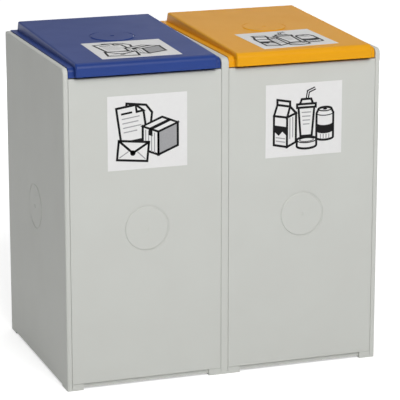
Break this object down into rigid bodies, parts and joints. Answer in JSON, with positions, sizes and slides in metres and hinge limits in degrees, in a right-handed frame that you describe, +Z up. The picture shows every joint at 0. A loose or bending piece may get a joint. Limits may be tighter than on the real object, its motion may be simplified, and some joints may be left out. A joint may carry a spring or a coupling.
{
  "type": "double recycling bin",
  "caption": "Side-by-side office recycling bin of moulded panels with hinged coloured lids, front grips and sorting labels.",
  "frame": {"origin": "on the floor at the centre of the whole object's bounding box", "axes": "+Z up, +X to the right and +Y to the back as seen from in front; the lids' grips face -Y"},
  "size_m": [0.662, 0.448, 0.6714],
  "materials": {
    "grey_panel": "moulded, fine satin grain",
    "blue_lid": "moulded, satin gloss",
    "yellow_lid": "moulded, satin gloss",
    "zinc_steel": "zinc plated",
    "bag_frame_steel": "black powder coat",
    "buffer_rubber": "soft matt",
    "label_film": "printed white film"
  },
  "bodies": {
    "bins": {"left_side_panel": "grey_panel", "centre_partition": "grey_panel", "right_side_panel": "grey_panel", "left_bin_front_panel": "grey_panel", "left_bin_back_panel": "grey_panel", "left_bin_base_tray": "grey_panel", "left_bin_panel_screws": "zinc_steel", "left_bin_hinge_pins": "zinc_steel", "left_bin_bag_frame": "bag_frame_steel", "left_bin_front_label": "label_film", "right_bin_front_panel": "grey_panel", "right_bin_back_panel": "grey_panel", "right_bin_base_tray": "grey_panel", "right_bin_panel_screws": "zinc_steel", "right_bin_hinge_pins": "zinc_steel", "right_bin_bag_frame": "bag_frame_steel", "right_bin_front_label": "label_film"},
    "left_lid": {"left_bin_lid": "blue_lid", "left_bin_lid_label": "label_film", "left_bin_lid_buffers": "buffer_rubber"},
    "right_lid": {"right_bin_lid": "yellow_lid", "right_bin_lid_label": "label_film", "right_bin_lid_buffers": "buffer_rubber"}
  },
  "joints": [
    {"name": "left_lid_hinge", "type": "hinge", "parent": "bins", "child": "left_lid", "pos_m": [-0.16375, 0.209, 0.637], "axis": [-1, 0, 0], "range_deg": [0, 100]},
    {"name": "right_lid_hinge", "type": "hinge", "parent": "bins", "child": "right_lid", "pos_m": [0.16375, 0.209, 0.637], "axis": [-1, 0, 0], "range_deg": [0, 100]}
  ]
}
